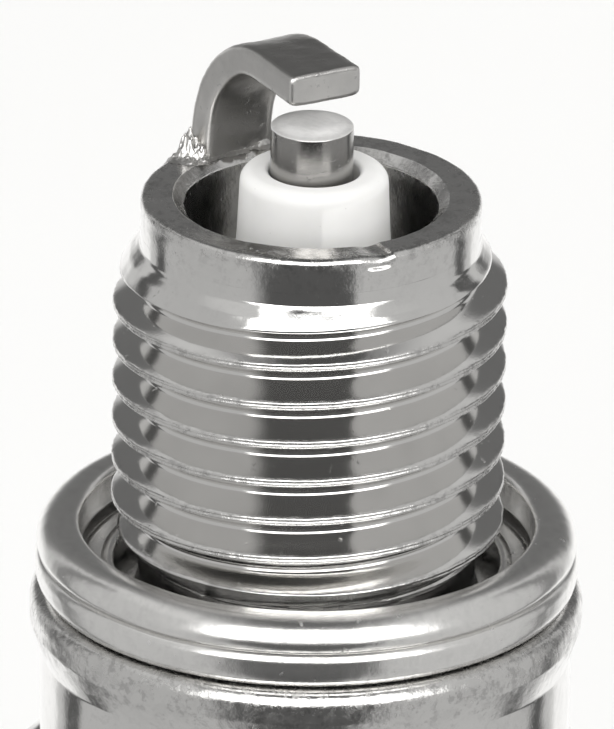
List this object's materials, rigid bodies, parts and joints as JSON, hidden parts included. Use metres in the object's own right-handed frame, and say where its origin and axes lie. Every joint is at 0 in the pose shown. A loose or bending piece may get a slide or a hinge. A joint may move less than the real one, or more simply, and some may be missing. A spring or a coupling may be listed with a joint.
{
  "type": "spark plug",
  "caption": "Spark plug with a short threaded shell, captive folded gasket, hexagon, ribbed ceramic insulator, side electrode over a central electrode, and a screw-off terminal nut.",
  "frame": {"origin": "centre of the shell's gasket seat, the plane that the threaded reach is measured from", "axes": "+Z along the plug towards the firing end, +X the way the side electrode's arm points, from its foot to the axis"},
  "size_m": [0.0208, 0.018, 0.07],
  "materials": {
    "plated_steel": "bright plated, rolled thread",
    "nickel_alloy": "satin",
    "gasket_steel": "satin plated",
    "alumina": "white; bare at the nose, glazed behind",
    "electrode_alloy": "turned",
    "copper": "plain",
    "glass_seal": "matte fused",
    "resistor_mix": "matte fused",
    "stud_steel": "plated",
    "nut_metal": "plated",
    "packing_steel": "plain",
    "talc": "pressed powder"
  },
  "bodies": {
    "plug": {"shell": "plated_steel", "ground_electrode": "nickel_alloy", "insulator": "alumina", "centre_electrode": "electrode_alloy", "copper_core": "copper", "front_glass_seal": "glass_seal", "resistor": "resistor_mix", "rear_glass_seal": "glass_seal", "terminal_stud": "stud_steel", "packing_washer": "packing_steel", "front_packing_ring": "packing_steel", "talc_packing": "talc", "rear_packing_ring": "packing_steel"},
    "gasket_ring": {"gasket": "gasket_steel"},
    "nut": {"terminal_nut": "nut_metal"}
  },
  "joints": [
    {"name": "gasket_spin", "type": "hinge", "parent": "plug", "child": "gasket_ring", "pos_m": [0, 0, 0.001], "axis": [0, 0, 1], "continuous": true},
    {"name": "terminal_nut_unscrew", "type": "slide", "parent": "plug", "child": "nut", "axis": [0, 0, -1], "range_m": [0, 0.0085]}
  ]
}
